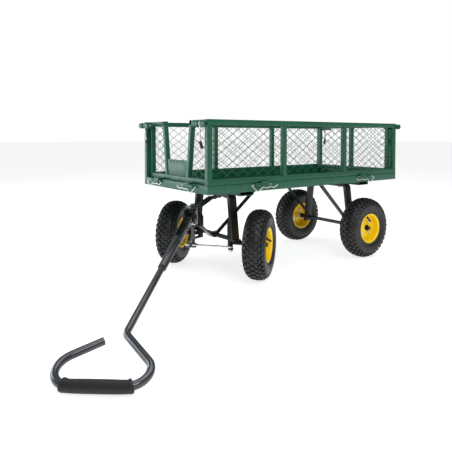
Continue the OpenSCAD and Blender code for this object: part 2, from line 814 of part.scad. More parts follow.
head_yoke();
head_kingpin();
head_pivot_bolt();
handle_fork();
handle_tube();
handle_grip();
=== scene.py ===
"""Garden cart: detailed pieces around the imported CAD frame. Metres, +Z up, the cart's front is -X."""
import json
import math

import bmesh
import bpy
from mathutils import Matrix, Vector

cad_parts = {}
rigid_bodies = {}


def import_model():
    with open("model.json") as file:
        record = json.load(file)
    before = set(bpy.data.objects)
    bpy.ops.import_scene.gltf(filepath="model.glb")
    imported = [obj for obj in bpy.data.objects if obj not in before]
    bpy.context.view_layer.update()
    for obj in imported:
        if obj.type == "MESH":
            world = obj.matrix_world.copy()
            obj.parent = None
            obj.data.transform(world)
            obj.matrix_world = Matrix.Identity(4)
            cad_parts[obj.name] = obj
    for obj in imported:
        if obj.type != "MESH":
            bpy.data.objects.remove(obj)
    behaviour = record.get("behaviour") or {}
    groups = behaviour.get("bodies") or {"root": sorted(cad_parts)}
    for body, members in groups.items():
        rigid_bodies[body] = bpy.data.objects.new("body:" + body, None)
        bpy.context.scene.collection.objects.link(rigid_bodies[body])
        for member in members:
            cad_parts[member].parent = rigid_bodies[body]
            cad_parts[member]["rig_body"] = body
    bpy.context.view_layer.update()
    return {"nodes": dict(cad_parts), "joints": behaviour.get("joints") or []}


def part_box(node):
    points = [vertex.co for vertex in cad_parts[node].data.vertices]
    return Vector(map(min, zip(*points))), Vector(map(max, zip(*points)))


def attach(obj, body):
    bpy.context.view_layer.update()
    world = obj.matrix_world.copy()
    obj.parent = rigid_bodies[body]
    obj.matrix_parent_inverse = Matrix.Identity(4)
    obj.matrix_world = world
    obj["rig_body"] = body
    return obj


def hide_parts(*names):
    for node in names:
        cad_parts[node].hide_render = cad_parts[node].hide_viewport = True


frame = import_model()
MM = 0.001
JOINTS = {j["name"]: j for j in frame["joints"]}
UP = Vector((0, 0, 1))


# ---- materials ----

def material(name, color, rough, *, metallic=0.0, coat=0.0, sheen=0.0, specular=0.5, mottle=0.12,
             mottle_scale=9.0, rough_spread=0.08, grain=700.0, grain_depth=0.05, wear=None, fine=0.0):
    """Principled finish: mottled colour, uneven roughness and a fine grain. wear is (colour, amount)
    for the edges; fine is the scale of added pores."""
    m = bpy.data.materials.new(name)
    m.use_nodes = True
    nodes, links = m.node_tree.nodes, m.node_tree.links
    shader = nodes["Principled BSDF"]
    shader.inputs["Metallic"].default_value = metallic
    shader.inputs["Coat Weight"].default_value = coat
    shader.inputs["Coat Roughness"].default_value = 0.12
    shader.inputs["Sheen Weight"].default_value = sheen
    shader.inputs["Specular IOR Level"].default_value = specular
    coords = nodes.new("ShaderNodeTexCoord").outputs["Object"]

    def noise(scale, detail=3.0, roughness=0.55):
        n = nodes.new("ShaderNodeTexNoise")
        n.inputs["Scale"].default_value = scale
        n.inputs["Detail"].default_value = detail
        n.inputs["Roughness"].default_value = roughness
        links.new(coords, n.inputs["Vector"])
        return n.outputs["Fac"]

    ramp = nodes.new("ShaderNodeValToRGB")
    low, high = ramp.color_ramp.elements
    low.position, high.position = 0.3, 0.7
    low.color = [c * (1 - mottle) for c in color] + [1]
    high.color = [min(1, c * (1 + mottle)) for c in color] + [1]
    links.new(noise(mottle_scale), ramp.inputs["Fac"])
    base = ramp.outputs["Color"]
    if wear:
        worn, amount = wear
        edge = nodes.new("ShaderNodeNewGeometry").outputs["Pointiness"]
        pick = nodes.new("ShaderNodeMapRange")
        pick.inputs["From Min"].default_value = 0.53
        pick.inputs["From Max"].default_value = 0.62
        pick.inputs["To Max"].default_value = amount
        links.new(edge, pick.inputs["Value"])
        patch = nodes.new("ShaderNodeMath")
        patch.operation = "MULTIPLY"
        links.new(pick.outputs["Result"], patch.inputs[0])
        links.new(noise(60.0), patch.inputs[1])
        mix = nodes.new("ShaderNodeMix")
        mix.data_type = "RGBA"
        mix.inputs["B"].default_value = [*worn, 1]
        links.new(patch.outputs["Value"], mix.inputs["Factor"])
        links.new(base, mix.inputs["A"])
        base = mix.outputs["Result"]
    links.new(base, shader.inputs["Base Color"])
    spread = nodes.new("ShaderNodeMapRange")
    spread.inputs["From Min"].default_value = 0.3
    spread.inputs["From Max"].default_value = 0.7
    spread.inputs["To Min"].default_value = max(0.02, rough - rough_spread)
    spread.inputs["To Max"].default_value = min(1, rough + rough_spread)
    links.new(noise(mottle_scale * 3.1), spread.inputs["Value"])
    links.new(spread.outputs["Result"], shader.inputs["Roughness"])
    bump = nodes.new("ShaderNodeBump")
    bump.inputs["Strength"].default_value = 0.5
    bump.inputs["Distance"].default_value = grain_depth * MM
    height = noise(grain, 2.0)
    if fine:
        pores = nodes.new("ShaderNodeTexVoronoi")
        pores.inputs["Scale"].default_value = fine
        links.new(coords, pores.inputs["Vector"])
        both = nodes.new("ShaderNodeMath")
        both.operation = "ADD"
        links.new(height, both.inputs[0])
        links.new(pores.outputs["Distance"], both.inputs[1])
        height = both.outputs["Value"]
    links.new(height, bump.inputs["Height"])
    links.new(bump.outputs["Normal"], shader.inputs["Normal"])
    return m


GREEN = material("green_paint", (0.004, 0.080, 0.040), 0.34, specular=0.28, grain=420,
                 grain_depth=0.1, wear=((0.06, 0.18, 0.12), 0.6))
BLACK = material("black_paint", (0.006, 0.0063, 0.007), 0.34, specular=0.32, mottle=0.2, grain=520,
                 grain_depth=0.12, wear=((0.08, 0.08, 0.09), 0.6))
PLATE = material("plate_steel", (0.11, 0.113, 0.12), 0.30, metallic=0.7, mottle=0.25, mottle_scale=30,
                 grain=520, grain_depth=0.12)
GREY = material("handle_paint", (0.060, 0.063, 0.072), 0.22, metallic=0.55, coat=0.3, mottle=0.15,
                grain=600, grain_depth=0.06, wear=((0.15, 0.15, 0.17), 0.5))
ZINC = material("zinc_plate", (0.72, 0.73, 0.76), 0.38, metallic=0.9, mottle=0.15, mottle_scale=45,
                rough_spread=0.1, grain=900, grain_depth=0.04)
YELLOW = material("yellow_paint", (1.0, 0.66, 0.0), 0.34, coat=0.15, mottle=0.05, grain=450,
                  grain_depth=0.1)
RUBBER = material("tyre_rubber", (0.010, 0.0105, 0.012), 0.46, mottle=0.3, mottle_scale=22,
                  rough_spread=0.1, grain=1100, grain_depth=0.15)
VINYL = material("grip_vinyl", (0.008, 0.008, 0.009), 0.38, mottle=0.15, grain=900, grain_depth=0.05)
FOAM = material("grip_foam", (0.006, 0.006, 0.007), 0.6, sheen=0.05, mottle=0.2, mottle_scale=60,
                grain=1300, grain_depth=0.25, fine=900.0)


# ---- mesh building ----

class Shape:
    """Vertices and faces gathered from simple closed parts, for a piece of one finish."""

    def __init__(self):
        self.verts, self.faces = [], []

    def add(self, verts, faces, at=None):
        base = len(self.verts)
        self.verts += [at @ Vector(v) if at else Vector(v) for v in verts]
        self.faces += [[base + i for i in f] for f in faces]

    def build(self, name, body, finish, replaces=(), angle=38, at=None):
        mesh = bpy.data.meshes.new(name)
        mesh.from_pydata([tuple(v) for v in self.verts], [], self.faces)
        mesh.materials.append(finish)
        bm = bmesh.new()
        bm.from_mesh(mesh)
        bmesh.ops.remove_doubles(bm, verts=bm.verts, dist=1e-7)
        bmesh.ops.recalc_face_normals(bm, faces=bm.faces)
        bm.to_mesh(mesh)
        bm.free()
        return place(name, mesh, body, replaces, angle, at)


def place(name, mesh, body, replaces=(), angle=38, at=None):
    """Put a mesh in the scene on its body; edges sharper than angle degrees stay sharp."""
    if at is not None:
        mesh.transform(at)
    mesh.shade_smooth()
    mesh.set_sharp_from_angle(angle=math.radians(angle))
    o = bpy.data.objects.new(name, mesh)
    bpy.context.scene.collection.objects.link(o)
    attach(o, body)
    if replaces:
        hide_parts(*replaces)
    return o


def loft(rings, closed=False, caps=True):
    """Faces that join rings of equally many points."""
    n = len(rings[0])
    verts = [v for ring in rings for v in ring]
    faces = []
    for k in range(len(rings) if closed else len(rings) - 1):
        a, b = k * n, (k + 1) % len(rings) * n
        faces += [[a + i, a + (i + 1) % n, b + (i + 1) % n, b + i] for i in range(n)]
    if caps and not closed:
        faces += [list(range(n - 1, -1, -1)), [(len(rings) - 1) * n + i for i in range(n)]]
    return verts, faces


def sweep(path, radius, sides=16, flat=None):
    """Tube along a path. radius is one number or a list; flat is a section's (width, height)."""
    path = [Vector(p) for p in path]
    radii = radius if isinstance(radius, (list, tuple)) else [radius] * len(path)
    rings = []
    side = None
    for k, p in enumerate(path):
        ahead = (path[min(k + 1, len(path) - 1)] - path[max(k - 1, 0)]).normalized()
        if side is None:
            ref = UP if abs(ahead.dot(UP)) < 0.95 else Vector((1, 0, 0))
            side = ahead.cross(ref).normalized()
        side = (side - ahead * side.dot(ahead)).normalized()
        other = side.cross(ahead)
        ring = []
        for i in range(sides):
            a = 2 * math.pi * (i + 0.5 * bool(flat)) / sides
            if flat:
                ring.append(p + side * math.copysign(flat[0] / 2, math.cos(a))
                            + other * math.copysign(flat[1] / 2, math.sin(a)))
            else:
                ring.append(p + (side * math.cos(a) + other * math.sin(a)) * radii[k])
        rings.append(ring)
    return loft(rings)


def domed(path, radius):
    """The path and radii of a round bar with domed ends."""
    steps = 4
    path = [Vector(p) for p in path]
    first, last = (path[1] - path[0]).normalized(), (path[-1] - path[-2]).normalized()
    angles = [math.pi / 2 * (k + 0.35) / (steps + 0.35) for k in range(steps)]
    half = radius * 0.5
    dome = [(half * (1 - math.sin(a)), half * (1 + math.sin(a))) for a in angles]
    start = [(path[0] + first * d, r) for d, r in dome]
    end = [(path[-1] - last * d, r) for d, r in reversed(dome)]
    middle = [(p, radius) for p in [path[0] + first * half, *path[1:-1], path[-1] - last * half]]
    everything = start + middle + end
    return [p for p, _ in everything], [r for _, r in everything]


def rounded(points, radius, steps=7):
    """A bent line with its corners turned into arcs."""
    points = [Vector(p) for p in points]
    out = [points[0]]
    for a, b, c in zip(points, points[1:], points[2:]):
        u, v = (a - b).normalized(), (c - b).normalized()
        half = u.angle(v) / 2
        if half > 1.56:  # straight on, so there is nothing to round
            out.append(b)
            continue
        reach = min(radius / math.tan(half), 0.48 * min((a - b).length, (c - b).length))
        r = reach * math.tan(half)
        centre = b + (u + v).normalized() * r / math.sin(half)
        p, q = b + u * reach - centre, b + v * reach - centre
        turn = p.angle(q)
        for k in range(steps + 1):
            t = k / steps
            out.append(centre + (p * math.sin((1 - t) * turn) + q * math.sin(t * turn)) / math.sin(turn))
    out.append(points[-1])
    return out


def in_mm(points):
    """Points given in millimetres, in metres."""
    return [(a * MM, b * MM) for a, b in points]


def lathe(profile, segs, closed=True):
    """Turn a profile of (radius, w) about local Y, w along Y. closed joins its last point to its
    first; without it, both lie on the axis."""
    rings = []
    for i in range(segs):
        a = 2 * math.pi * i / segs
        rings.append([Vector((r * math.cos(a), w, r * math.sin(a))) for r, w in profile])
    n = len(profile)
    verts, faces = [v for ring in rings for v in ring], []
    for k in range(segs):
        a, b = k * n, (k + 1) % segs * n
        for i in range(n if closed else n - 1):
            faces.append([a + i, a + (i + 1) % n, b + (i + 1) % n, b + i])
    return verts, faces


def along(origin, axis):
    """Frame whose local Y points along axis and whose local Z is nearest to up."""
    y = Vector(axis).normalized()
    ref = UP if abs(y.dot(UP)) < 0.99 else Vector((1, 0, 0))
    z = (ref - y * ref.dot(y)).normalized()
    x = y.cross(z)
    return Matrix.Translation(Vector(origin)) @ Matrix((x, y, z)).transposed().to_4x4()


def disc(shape, at, r, y0, y1, bevel):
    """Short round bar along local Y with bevelled rims."""
    profile = [(0, y0), (r - bevel, y0), (r, y0 + bevel), (r, y1 - bevel), (r - bevel, y1), (0, y1)]
    shape.add(*lathe(profile, 32, closed=False), at)


def hexagon(shape, at, r, y0, y1):
    """Hexagon head or nut along local Y, chamfered at its outer end."""
    cut = 0.1 * r
    angles = [k * math.pi / 3 for k in range(6)]
    rings = [[Vector((q * math.cos(a), y, q * math.sin(a))) for a in angles]
             for q, y in [(r, y0), (r, y1 - cut * 0.6), (r - cut, y1)]]
    shape.add(*loft(rings), at)


def bolt(shape, at, r, y0, thick, stud):
    """Washer, hexagon and the end of its stud, outward along local Y from y0."""
    washer = 1.2 * MM
    disc(shape, at, r * 1.28, y0, y0 + washer, 0.25 * MM)
    hexagon(shape, at, r, y0 + washer, y0 + washer + thick)
    disc(shape, at, r * 0.52, y0 + thick, y0 + washer + thick + stud, 0.5 * MM)


# ---- CAD nodes that keep their shape, with their edges rounded ----

def softened(node, finish, width):
    """Copy of a CAD node with its flat faces joined and its edges bevelled by width, in mm."""
    source = frame["nodes"][node]
    mesh = bpy.data.meshes.new("p_" + node)
    bm = bmesh.new()
    bm.from_mesh(source.data)
    bmesh.ops.remove_doubles(bm, verts=bm.verts, dist=2e-6)
    bmesh.ops.dissolve_limit(bm, angle_limit=math.radians(0.6), verts=bm.verts, edges=bm.edges)
    sharp = [e for e in bm.edges
             if len(e.link_faces) == 2 and e.calc_face_angle(0) > math.radians(30)]
    bmesh.ops.bevel(bm, geom=sharp, offset=width * MM, offset_type="OFFSET", segments=2,
                    profile=0.6, affect="EDGES", clamp_overlap=True)
    bmesh.ops.recalc_face_normals(bm, faces=bm.faces)
    bm.to_mesh(mesh)
    bm.free()
    mesh.materials.clear()
    mesh.materials.append(finish)
    return place("p_" + node, mesh, source["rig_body"], (node,), angle=32)


for name, finish, width in [
        ("cross_rails", GREEN, 0.8), ("front_frame", BLACK, 1.2),
        ("front_crossbar", BLACK, 0.9), ("front_brace", BLACK, 0.9), ("rear_frame", BLACK, 1.2),
        ("rear_axle", BLACK, 0.6), ("rear_braces", BLACK, 0.9), ("tongue_upper", PLATE, 0.8),
        ("tongue_lower", PLATE, 0.8), ("frame_bolts", ZINC, 0.5), ("panel_front_plate", GREEN, 0.5),
        ("tie_rod_near", ZINC, 0.4), ("tie_rod_far", ZINC, 0.4), ("head_kingpin", PLATE, 0.5),
        ("head_pivot_bolt", BLACK, 0.5), ("handle_fork", GREY, 0.8)]:
    softened(name, finish, width)


# ---- tray and panel frames, drawn with the side's outside at +Y ----

TURNS = {"far": 0, "near": 180, "front": 90, "rear": -90}
side_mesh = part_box("panel_far_mesh")
end_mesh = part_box("panel_rear_mesh")
TUBE = 18 * MM
END_GAP = 1 * MM
PANEL_Z, PANEL_TOP = side_mesh[0].z - TUBE, side_mesh[1].z + TUBE
HALF_L = side_mesh[1].x + TUBE
END_HALF = end_mesh[1].y + TUBE
HALF_W = END_HALF + TUBE + END_GAP
END_FACE = (end_mesh[0].x + end_mesh[1].x) / 2 + TUBE / 2
TRAY_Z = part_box("bed_tray")[0].z
KNUCKLE_R, KNUCKLE_OUT, KNUCKLE_Z = 6.5 * MM, 8 * MM, TRAY_Z + 23 * MM
LATCH_OUT, LATCH_Z, LATCH_R = 11 * MM, PANEL_TOP - 14.5 * MM, 11 * MM
LATCH_SLEEVE = (168 * MM, 203 * MM)  # from the middle of an end panel
BOW = {"near": 333, "far": 333, "front": 172, "rear": 172}  # clip bows, mm from a side's middle
TRAY_SLEEVE, PANEL_SLEEVE = (13, 41.5), (42, 77)  # mm back from a bow
RIM_WIDTH = {"near": 22, "far": 22, "front": 40, "rear": 40}  # the tray's rims, mm
FLOOR_T = 2 * MM
NOTCH_FOOT, NOTCH_HEAD = 77 * MM, 101.6 * MM  # the front panel's sloping posts
OVERLAP = 0.5 * MM  # a post runs this far into its rails
WELD_R = 1.1 * MM


def turned(side):
    """Frame whose +Y is the outward direction of a side of the cart."""
    return Matrix.Rotation(math.radians(TURNS[side]), 4, "Z")


def section(w, h, r):
    """Outline of a rounded rectangle."""
    steps = 3
    out = []
    for cx, cy, a0 in [(1, 1, 0), (-1, 1, 90), (-1, -1, 180), (1, -1, 270)]:
        for k in range(steps + 1):
            a = math.radians(a0 + 90 * k / steps)
            out.append((cx * (w / 2 - r) + r * math.cos(a), cy * (h / 2 - r) + r * math.sin(a)))
    return out


def bar(shape, p, q, w=TUBE, h=TUBE, r=1.6 * MM, side=None):
    """Square tube or flat bar from p to q; side is the direction of its width."""
    end = 0.5 * MM  # the chamfer at its ends
    p, q = Vector(p), Vector(q)
    ahead = (q - p).normalized()
    side = Vector(side or ((0, 1, 0) if abs(ahead.y) < 0.9 else (1, 0, 0)))
    side = (side - ahead * side.dot(ahead)).normalized()
    up = side.cross(ahead)

    def ring(at, inset):
        return [at + side * x + up * y for x, y in section(w - 2 * inset, h - 2 * inset, r)]
    rings = [ring(p, end), ring(p + ahead * end, 0), ring(q - ahead * end, 0), ring(q, end)]
    shape.add(*loft(rings))


def sleeve(shape, p, q, r, bore, bevel=0.6 * MM):
    """Round sleeve with an open bore from p to q."""
    p, q = Vector(p), Vector(q)
    tall = (q - p).length
    profile = [(bore, 0), (r - bevel, 0), (r, bevel), (r, tall - bevel), (r - bevel, tall),
               (bore, tall)]
    shape.add(*lathe(profile, 40), along(p, q - p))


def bead(shape, p, q, r=1.5 * MM):
    """Small weld bead from p to q."""
    p, q = Vector(p), Vector(q)
    count = max(2, round((q - p).length / (1.6 * MM)))
    path = [p.lerp(q, k / count) for k in range(count + 1)]
    shape.add(*sweep(path, [r * (0.8 + 0.2 * (k % 2)) for k in range(count + 1)], 8))


def knuckles(shape, side, half, sleeve_back, strap_from=None):
    """Two hinge sleeves beside a tray edge, sleeve_back from the clips' bows. With strap_from they
    hang on straps from that face of a panel, otherwise they are welded to the tray."""
    y = half + KNUCKLE_OUT
    near, far = sleeve_back
    lo, hi = (BOW[side] - far) * MM, (BOW[side] - near) * MM
    for a, b in [(lo, hi), (-hi, -lo)]:
        sleeve(shape, (a, y, KNUCKLE_Z), (b, y, KNUCKLE_Z), KNUCKLE_R, 2.4 * MM)
        mid = (a + b) / 2
        if strap_from is None:
            bar(shape, (mid, half - 1 * MM, KNUCKLE_Z), (mid, half + 4 * MM, KNUCKLE_Z),
                b - a - 1 * MM, 8 * MM, 1 * MM)
            for z in (KNUCKLE_Z - 5 * MM, KNUCKLE_Z + 5 * MM):
                bead(shape, (a + 2 * MM, half + 1 * MM, z), (b - 2 * MM, half + 1 * MM, z))
        else:
            top = PANEL_Z + 2.6 * MM
            bend = [(mid, strap_from - 1 * MM, top), (mid, y + 2 * MM, top),
                    (mid, y + 2 * MM, KNUCKLE_Z)]
            shape.add(*sweep(rounded(bend, 3 * MM, 4), 0, 4, flat=(b - a - 0.6 * MM, 4 * MM)))


def posts(shape, y, xs):
    """Upright posts between a panel's rails, at each x."""
    for x in xs:
        bar(shape, (x, y, PANEL_Z + TUBE - OVERLAP), (x, y, PANEL_TOP - TUBE + OVERLAP))


def weld(shape, x, y, z):
    """Weld beads on both sides of a post's end."""
    for dx in (-TUBE / 2, TUBE / 2):
        bead(shape, (x + dx, y - TUBE * 0.4, z), (x + dx, y + TUBE * 0.4, z), WELD_R)


def tray():
    """Folded sheet tray with mitred rims, and the hinge sleeves on its edges."""
    shape = Shape()
    wide, deep, middle = HALF_L - FLOOR_T, HALF_W - FLOOR_T, TRAY_Z + FLOOR_T / 2
    bar(shape, (-wide, 0, middle), (wide, 0, middle), 2 * deep, FLOOR_T, 0.4 * MM)
    for side, rim in RIM_WIDTH.items():
        long = side in ("near", "far")
        reach, cross = (HALF_W, HALF_L) if long else (HALF_L, HALF_W)
        mitre = RIM_WIDTH["front" if long else "near"] / rim
        fold = [(1.5, 0), (0.5, 0.5), (0, 1.5), (0, 27), (0.3, 28.6), (1.3, 29.6), (2.8, 30),
                (rim - 2.8, 30), (rim - 1.3, 29.6), (rim - 0.3, 28.6), (rim, 27), (rim, 2.6),
                (rim - 1, 1.6)]
        edge = Shape()
        edge.add(*loft([[Vector((end * (cross - d * MM * mitre - 0.15 * MM), reach - d * MM,
                                 TRAY_Z + z * MM)) for d, z in fold] for end in (-1, 1)]))
        knuckles(edge, side, reach, TRAY_SLEEVE)
        shape.add(edge.verts, edge.faces, turned(side))
    shape.build("p_bed_tray", "chassis", GREEN, ("bed_tray",), angle=30)


def side_frame(side):
    """Side panel: two rails, four posts, hinge straps and the keepers of the corner latches."""
    shape = Shape()
    y = HALF_W - TUBE / 2
    for z in (PANEL_Z + TUBE / 2, PANEL_TOP - TUBE / 2):
        bar(shape, (-HALF_L, y, z), (HALF_L, y, z))
    step = (2 * HALF_L - TUBE) / 3
    xs = [-HALF_L + TUBE / 2 + k * step for k in range(4)]
    posts(shape, y, xs)
    for x in xs:
        weld(shape, x, y, PANEL_Z + TUBE)
        weld(shape, x, y, PANEL_TOP - TUBE)
    knuckles(shape, side, HALF_W, PANEL_SLEEVE, HALF_W)
    for s in (-1, 1):
        x, lug_y = s * (HALF_L + LATCH_OUT), HALF_W - 8 * MM
        sleeve(shape, (x, HALF_W - 16 * MM, LATCH_Z), (x, HALF_W + 10 * MM, LATCH_Z), LATCH_R,
               4.7 * MM, 1 * MM)
        bar(shape, (s * (HALF_L - 0.8 * MM), lug_y, LATCH_Z), (s * (HALF_L + 5.5 * MM), lug_y, LATCH_Z),
            15 * MM, 12 * MM, 1 * MM)
    shape.build(f"p_panel_{side}_frame", f"panel_{side}", GREEN, (f"panel_{side}_frame",), angle=30,
                at=turned(side))


def end_frame(side, notched):
    """End panel; the notched one is open between two sloping posts."""
    shape = Shape()
    y = END_FACE - TUBE / 2
    low, high = PANEL_Z + TUBE / 2, PANEL_TOP - TUBE / 2
    bar(shape, (-END_HALF, y, low), (END_HALF, y, low))
    top_from = 94 * MM if notched else 0
    out = HALF_L + LATCH_OUT
    for s in (-1, 1):
        bar(shape, (s * top_from, y, high), (s * END_HALF, y, high))
        x = s * (END_HALF - TUBE / 2)
        posts(shape, y, [x])
        weld(shape, x, y, PANEL_Z + TUBE)
        if notched:
            bar(shape, (s * NOTCH_FOOT, y, PANEL_Z + TUBE - OVERLAP),
                (s * NOTCH_HEAD, y, PANEL_TOP - 0.4 * MM), TUBE, 16 * MM)
        a, b = sorted(s * v for v in LATCH_SLEEVE)
        sleeve(shape, (a, out, LATCH_Z), (b, out, LATCH_Z), LATCH_R, 4.2 * MM, 1 * MM)
        mid = (a + b) / 2
        bar(shape, (mid, END_FACE - 0.8 * MM, LATCH_Z), (mid, out - 6 * MM, LATCH_Z), 34 * MM,
            12 * MM, 1 * MM)
    if not notched:
        posts(shape, y, [0])
    knuckles(shape, side, HALF_L, PANEL_SLEEVE, END_FACE)
    shape.build(f"p_panel_{side}_frame", f"panel_{side}", GREEN, (f"panel_{side}_frame",), angle=30,
                at=turned(side))


tray()
side_frame("near")
side_frame("far")
end_frame("front", True)
end_frame("rear", False)


# ---- wheels, drawn with the axis along Y, the outside at +Y and the valve at the top ----

near_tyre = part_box("wheel_rear_near_tyre")
TYRE_R = (near_tyre[1].z - near_tyre[0].z) / 2
TYRE_W = near_tyre[1].y - near_tyre[0].y
near_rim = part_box("wheel_rear_near_rim")
RIM_R = (near_rim[1].z - near_rim[0].z) / 2
SEAT_R = RIM_R - 6.5 * MM
RIM_W = (near_rim[1].y - near_rim[0].y) / 2
BEAD_W = RIM_W - 2.7 * MM
TREAD = 6.0 * MM
PITCHES = 34
MID_R = (TYRE_R + RIM_R - 6 * MM) / 2
VALVE_TURN = -75  # degrees, of the near front wheel's valve from the top
TREAD_ROWS = [(66, 80, 0.55, 0.56, 1, 2), (47, 62, 0.12, 0.60, -1, 2), (20, 42, 0.60, 0.50, 0, 4)]


def bulge(a):
    """A sine or cosine made fuller, so that the section is squarer than an ellipse."""
    return math.copysign(abs(a) ** 0.85, a)


def carcass(a, sink=0.0):
    """Point (radius, w) of the tyre's section at angle a, 90 degrees at the crown, sunk by a depth."""
    s, c = math.sin(math.radians(a)), math.cos(math.radians(a))
    tall, wide = TYRE_R - MID_R - sink, TYRE_W / 2 - sink
    return MID_R + tall * bulge(s), wide * bulge(c)


def knob(shape, a0, a1, t0, t1, lean=0.0, rows=2):
    """Tread block over section angles a0 to a1 and wheel angles t0 to t1, chamfered at its top."""
    def point(a, t, sink):
        r, w = carcass(a, sink)
        t += lean * (a - (a0 + a1) / 2)
        return Vector((r * math.cos(t), w, r * math.sin(t)))

    def ring(inset, sink):
        da, dt = (a1 - a0) * inset, (t1 - t0) * inset
        lo, hi = a0 + da, a1 - da
        steps = [lo + (hi - lo) * k / rows for k in range(rows + 1)]
        return ([point(a, t0 + dt, sink) for a in steps]
                + [point(a, t1 - dt, sink) for a in reversed(steps)])
    rings = [ring(-0.03, TREAD + 0.8 * MM), ring(0.05, 0.9 * MM), ring(0.12, 0.1 * MM)]
    n = 2 * (rows + 1)
    verts, faces = loft(rings, caps=False)
    top = 2 * n
    faces += [[top + k, top + k + 1, top + n - 2 - k, top + n - 1 - k] for k in range(rows)]
    faces.append(list(range(n - 1, -1, -1)))
    shape.add(verts, faces)


def tyre_shape():
    """Hollow tyre with its tread blocks and the ribs on its side walls."""
    shape = Shape()
    outer = [(RIM_R + 0.4 * MM, BEAD_W), (RIM_R + 1.2 * MM, BEAD_W + 1.4 * MM)]
    for step in range(65):
        a = -38 + step * 4
        lower = a if a < 90 else 180 - a
        depth = TREAD * min(1, max(0, (math.sin(math.radians(a)) - 0.2) / 0.3))
        depth += 0.9 * MM * math.exp(-(lower + 8) ** 2 / 14)
        outer.append(carcass(a, depth + 0.2 * MM))
    outer += [(RIM_R + 1.2 * MM, -BEAD_W - 1.4 * MM), (RIM_R + 0.4 * MM, -BEAD_W)]
    foot = BEAD_W - 6 * MM
    inner = [(SEAT_R + 0.2 * MM, -BEAD_W), (SEAT_R + 0.2 * MM, -foot), (RIM_R + 2 * MM, -foot)]
    inner += [carcass(a, 8 * MM) for a in range(218, -39, -16)]
    inner += [(RIM_R + 2 * MM, foot), (SEAT_R + 0.2 * MM, foot), (SEAT_R + 0.2 * MM, BEAD_W)]
    shape.add(*lathe(outer + inner, 120))
    step = 2 * math.pi / PITCHES
    for k in range(PITCHES):
        t = k * step
        knob(shape, 84, 96, t + 0.10 * step, t + 0.62 * step)
        for s in (1, -1):
            def side(a):
                return 90 - s * (90 - a)
            for a0, a1, start, long, lean, rows in TREAD_ROWS:
                lo, hi = sorted((side(a0), side(a1)))
                knob(shape, lo, hi, t + start * step, t + (start + long) * step, 0.0016 * s * lean,
                     rows)
    for s in (1, -1):
        for angle, size in [(-30, 1.1 * MM), (-12, 0.9 * MM)]:
            r, w = carcass(angle, 0.5 * MM)
            rib = [(r + size * math.cos(b), s * (w + size * math.sin(b)))
                   for b in [math.pi * q / 4 for q in range(8)]]
            shape.add(*lathe(rib, 120))
    return shape


def valve(shape):
    """Rubber valve stem that leans out of the rim, with its cap."""
    base, tip = Vector((0, 11 * MM, 54 * MM)), Vector((0, 36 * MM, 30 * MM))
    tall = (tip - base).length / MM
    profile = [(0, 0), (6.2, 0), (6.2, 2.0), (5.2, 4.5), (4.4, 8), (4.1, 15), (3.9, tall - 11),
               (3.1, tall - 10), (3.1, tall - 8.5), (4.2, tall - 8), (4.3, tall - 1), (3.6, tall),
               (0, tall)]
    shape.add(*lathe(in_mm(profile), 20, closed=False), along(base, tip - base))


def rim_shape():
    """Pressed rim: rolled flanges, dropped seat, dished web and its centre cone."""
    s = SEAT_R / MM
    w = RIM_W / MM
    front = [(s - 2.2, w - 8), (s - 2.2, 12), (s - 3.4, 8.5), (s - 7, 6.6), (44, 6.4), (41, 7.4),
             (38.5, 9.4), (27.5, 9.4), (24, 11), (20, 13.4), (16.6, 15.6), (14.4, 16)]
    back = [(14.4, 13), (16, 12.4), (20, 10.2), (24, 7.6), (27, 6.2), (38, 6.2), (41, 4), (44, 3.2),
            (s - 5.5, 3.2), (s - 2.2, 0.5), (s - 2.2, 8 - w)]
    curl = [(s - 2.2, w - 6), (s - 1.2, w - 3.4), (s + 1.2, w - 1.4), (s + 3.4, w), (s + 5.6, w - 0.1),
            (s + 6.5, w - 1), (s + 6.1, w - 1.9), (s + 4.2, w - 2), (s + 2, w - 3.2),
            (s + 0.4, w - 5.4), (s, w - 8)]
    shape = Shape()
    shape.add(*lathe(in_mm(curl[::-1] + front + back + [(r, -y) for r, y in curl]), 96))
    return shape


def hub_shape():
    """Hub sleeve with its bearing and the rim bolts."""
    shape = Shape()
    profile = [(9, -32), (12.9, -32), (14, -31), (14, 13.6), (13.2, 14.8), (12.4, 15), (11.8, 14.2),
               (10.2, 14.2), (9.8, 14.8), (9, 14.8)]
    shape.add(*lathe(in_mm(profile), 48))
    for k in range(4):
        turn = Matrix.Rotation(math.radians(45 + 90 * k), 4, "Y")
        at = turn @ Matrix.Translation((32.5 * MM, 0, 0))
        bolt(shape, at, 4.6 * MM, 9.2 * MM, 2.8 * MM, 0.6 * MM)
        hexagon(shape, at @ Matrix.Rotation(math.pi, 4, "X"), 5 * MM, -3.6 * MM, 1.1 * MM)
    return shape


def flange_shape():
    """Flat disc behind the rim bolts."""
    shape = Shape()
    shape.add(*lathe(in_mm([(14, 3.4), (38.2, 3.4), (39, 4), (39, 5.4), (38.2, 6), (14, 6)]), 48))
    return shape


for end, near in [("front", True), ("front", False), ("rear", True), ("rear", False)]:
    body = f"wheel_{end}_{'near' if near else 'far'}"
    spin = JOINTS[body + "_spin"]
    outward = Vector(spin["axis"]) * (-1 if near else 1)
    at = along(spin["pos_m"], outward)
    if end == "front" and near:
        at = at @ Matrix.Rotation(math.radians(VALVE_TURN), 4, "Y")
    shape = tyre_shape()
    valve(shape)
    shape.build("p_" + body + "_tyre", body, RUBBER, (body + "_tyre",), at=at, angle=30)
    rim_shape().build("p_" + body + "_rim", body, YELLOW, (body + "_rim",), at=at)
    hub_shape().build("p_" + body + "_hub", body, ZINC, (body + "_hub",), at=at, angle=30)
    flange_shape().build("p_" + body + "_flange", body, YELLOW, at=at, angle=30)


# ---- expanded mesh ----

